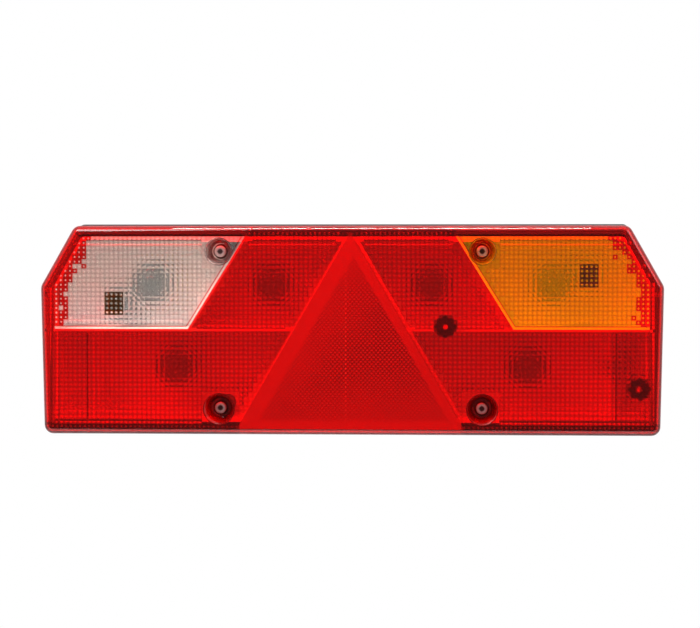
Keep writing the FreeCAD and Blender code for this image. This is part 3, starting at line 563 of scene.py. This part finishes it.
def pillow_sheet(name, inside, reach, side, material, slot):
    """Square pillows behind the lens, above the rib (side 1) or below it (side -1). With u and v from a
    pillow's middle in pitches and R its crown's radius, the back stands at base + pitch^2 (1/2 - u^2 - v^2)
    / 2R, and the front is flat. Only pillows whose four corners are inside the zone are kept."""
    columns = np.arange(math.floor(reach[0] / PITCH), math.ceil(reach[1] / PITCH) + 1)
    count = math.ceil(HALF_HEIGHT / PITCH)
    rows = np.arange(count + 1) if side > 0 else np.arange(-count, 1)
    x, z = np.meshgrid(columns * PITCH, rows * PITCH + side * RIB_HALF)
    kept = cells_inside(inside, x, z)
    front = np.stack([x, np.full(x.shape, OPTICS_FRONT), z], axis=-1)
    across = np.arange((len(columns) - 1) * CELL_STEPS + 1)
    along = np.arange((len(rows) - 1) * CELL_STEPS + 1)
    u, v = ((number % CELL_STEPS) / CELL_STEPS for number in (across, along))
    u, v = np.meshgrid(np.minimum(u, 1 - u) - 0.5, np.minimum(v, 1 - v) - 0.5)
    bulge = (0.5 - u ** 2 - v ** 2) * PITCH ** 2 / (2 * CROWN)
    heights = (rows[0] + along / CELL_STEPS) * PITCH + side * RIB_HALF
    x, z = np.meshgrid((columns[0] + across / CELL_STEPS) * PITCH, heights)
    back = np.stack([x, OPTICS_FRONT + OPTICS_BASE + bulge, z], axis=-1)
    vertices, faces, smooth = closed_sheet(back, front, kept, CELL_STEPS, triangles=False)
    add_piece(name, vertices, faces, material, smooth)


def prism_sheet(name, inside, material):
    """Corner prisms: points in rows, each row half a step on, stand at three heights in turn, by
    (column - row) mod 3, so the triangles between them pair up as the sides of cubes on their corners."""
    air_gap, base, rise = 0.1 * MM, 0.2 * MM, 0.5 * MM
    count = int(REFLEX_HIGH[0] * 2 / PRISM_STEP)
    rows = np.arange(math.floor(REFLEX_LOW[2] / PRISM_ROW), math.ceil(REFLEX_HIGH[2] / PRISM_ROW) + 1)
    i, j = np.meshgrid(np.arange(-count, count), rows)
    x, z = (i + j / 2) * PRISM_STEP, j * PRISM_ROW
    plane = REFLEX_HIGH[1] + air_gap
    front = np.stack([x, np.full(x.shape, plane), z], axis=-1)
    back = np.stack([x, plane + base + (i - j) % 3 * rise, z], axis=-1)
    vertices, faces, _ = closed_sheet(back, front, cells_inside(inside, x, z), 1, triangles=True)
    add_piece(name, vertices, faces, material, np.zeros(len(faces), bool))


def within_outline(x, z, inset):
    """Inside the lamp's outline drawn in by an inset: sides, slopes, top and bottom."""
    side = HALF_WIDTH - inset - (SHOULDER_HEIGHT - z).clip(0) * SIDE_LEAN
    in_box = (np.abs(x) <= side) & (np.abs(z) <= HALF_HEIGHT - inset)
    return in_box & (outline_inset(np.abs(x), z) >= inset)


def within_window(across, z, margin):
    """Inside a window's outline drawn in by a margin; across counts away from the centre line."""
    good = (across <= WINDOW_HIGH[0] - margin) & (outline_inset(across, z) >= WINDOW_INSET + margin)
    good &= (z >= WINDOW_LOW[2] + margin) & (z <= WINDOW_HIGH[2] - margin)
    return good & (slant_inset(across, z) >= margin)


def clear_of_wells(x, z):
    """Outside a square round each screw's well."""
    far = np.ones(x.shape, bool)
    for screw_x, screw_z in SCREW_PLACES:
        far &= np.maximum(np.abs(x - screw_x), np.abs(z - screw_z)) >= WELL_REACH
    return far


def window_zone(hand):
    """A window, as far as the pillows behind it reach: up to the rim, and off its slanted and lower edges."""
    def inside(x, z):
        across = hand * x
        good = (across <= WINDOW_HIGH[0] + 0.3 * MM) & (z <= WINDOW_HIGH[2] + 0.5 * MM)
        good &= outline_inset(across, z) >= WINDOW_INSET - 0.5 * MM
        good &= (slant_inset(across, z) >= 2.4 * MM) & (z >= WINDOW_LOW[2] + 2.0 * MM)
        return good & clear_of_wells(x, z)
    return inside


def red_zone(hand, upper):
    """The red lens on one side and level: off the reflector, the windows, the ribs and the skirt."""
    def inside(x, z):
        across = hand * x
        good = (across > 0) & within_outline(x, z, SKIRT_MARGIN)
        good &= np.minimum(*reflex_insets(x, z)[:2]) < -2.5 * MM
        good &= ~within_window(across, z, -0.5 * MM)
        if upper:
            good &= np.abs(slant_inset(across, z)) > 2.2 * MM
        else:
            good &= np.abs(across - END_WALL) > 0.6 * MM
        return good & clear_of_wells(x, z)
    return inside


def prism_zone(x, z):
    """Inside the reflector, off its bright bands."""
    left, right, low = reflex_insets(x, z)
    return (left > BAND_LEFT) & (right > BAND_RIGHT) & (low > BAND_FOOT)


for hand, side in ((-1, "left"), (1, "right")):
    reach = sorted((0, hand * HALF_WIDTH))
    window = (CLEAR_OPTICS, "white_lens") if hand < 0 else (AMBER_OPTICS, "amber_lens")
    red = (RED_OPTICS, "red_lens")
    pillow_sheet(f"window_optics_{side}", window_zone(hand), reach, 1, *window)
    pillow_sheet(f"upper_optics_{side}", red_zone(hand, True), reach, 1, *red)
    pillow_sheet(f"lower_optics_{side}", red_zone(hand, False), reach, -1, *red)
prism_sheet("reflector_prisms", prism_zone, PRISM_RED)

# ---------------------------------------------------------------- studio

FLOOR_HALF, FLOOR_LEVEL = 0.7, -0.42
SENSOR_WIDTH = 36
VIEW_ANGLE, VIEW_TURN, VIEW_RISE = (math.radians(angle) for angle in (22.1, 2.5, 2))
VIEW_DISTANCE = 1.16
VIEW_TARGET = Vector((0, LENS_FRONT, 0.0108))


def aim(thing, place, target):
    """Put a light or the camera at a place, looking at a target, and add it to the scene."""
    thing.location = place
    thing.rotation_euler = (Vector(target) - Vector(place)).to_track_quat("-Z", "Y").to_euler()
    bpy.context.scene.collection.objects.link(thing)


def add_light(name, place, target, size, power):
    data = bpy.data.lights.new(name, "AREA")
    data.shape = "RECTANGLE"
    data.size, data.size_y = size
    data.energy = power
    aim(bpy.data.objects.new(name, data), place, target)


def add_floor():
    mesh = bpy.data.meshes.new("studio_floor")
    around = (-1, -1), (1, -1), (1, 1), (-1, 1)
    corners = [(x * FLOOR_HALF, y * FLOOR_HALF, FLOOR_LEVEL) for x, y in around]
    mesh.from_pydata(corners, [], [(0, 1, 2, 3)])
    f = Finish("studio_floor_paper")
    tone = f.mix(f.noise(3), (0.86, 0.86, 0.86), (0.9, 0.9, 0.9))
    mesh.materials.append(f.finish(f.surface(Base_Color=tone, Roughness=0.9)))
    floor = bpy.data.objects.new("studio_floor", mesh)
    bpy.context.scene.collection.objects.link(floor)


def add_world():
    """A white room. Its light is dimmer from in front of the lamp, so that the lens doesn't mirror it."""
    f = Finish("studio_white", world=True)
    ramp = {"Value": f.axis("Y"), "From Min": -0.9, "From Max": -0.1, "To Min": 0.1, "To Max": 1.0}
    light = f.node("ShaderNodeMapRange", {}, ramp)
    seen = f.node("ShaderNodeLightPath", output="Is Camera Ray")
    room = f.node("ShaderNodeBackground", {}, {"Color": (1, 1, 1, 1), "Strength": light.most(seen)})
    bpy.context.scene.world = f.finish(room)


def add_camera():
    """The camera stands in front, a little above the lamp's middle and towards its right end."""
    data = bpy.data.cameras.new("camera")
    data.sensor_width = SENSOR_WIDTH
    data.lens = SENSOR_WIDTH / 2 / math.tan(VIEW_ANGLE / 2)
    level = math.cos(VIEW_RISE)
    heading = Vector((math.sin(VIEW_TURN) * level, -math.cos(VIEW_TURN) * level, math.sin(VIEW_RISE)))
    camera = bpy.data.objects.new("camera", data)
    aim(camera, VIEW_TARGET + VIEW_DISTANCE * heading, VIEW_TARGET)
    bpy.context.scene.camera = camera


add_floor()
add_world()
add_light("key", (-0.6, -1.0, 0.9), (0, -0.05, 0), (0.7, 0.7), 17)
add_light("top", (0, -0.3, 0.8), (0, -0.07, 0.07), (0.45, 0.1), 7)
add_light("fill", (0.9, -0.8, 0.6), (0, -0.05, 0), (0.6, 0.6), 3)
add_camera()
bpy.context.scene.view_settings.view_transform = "Standard"
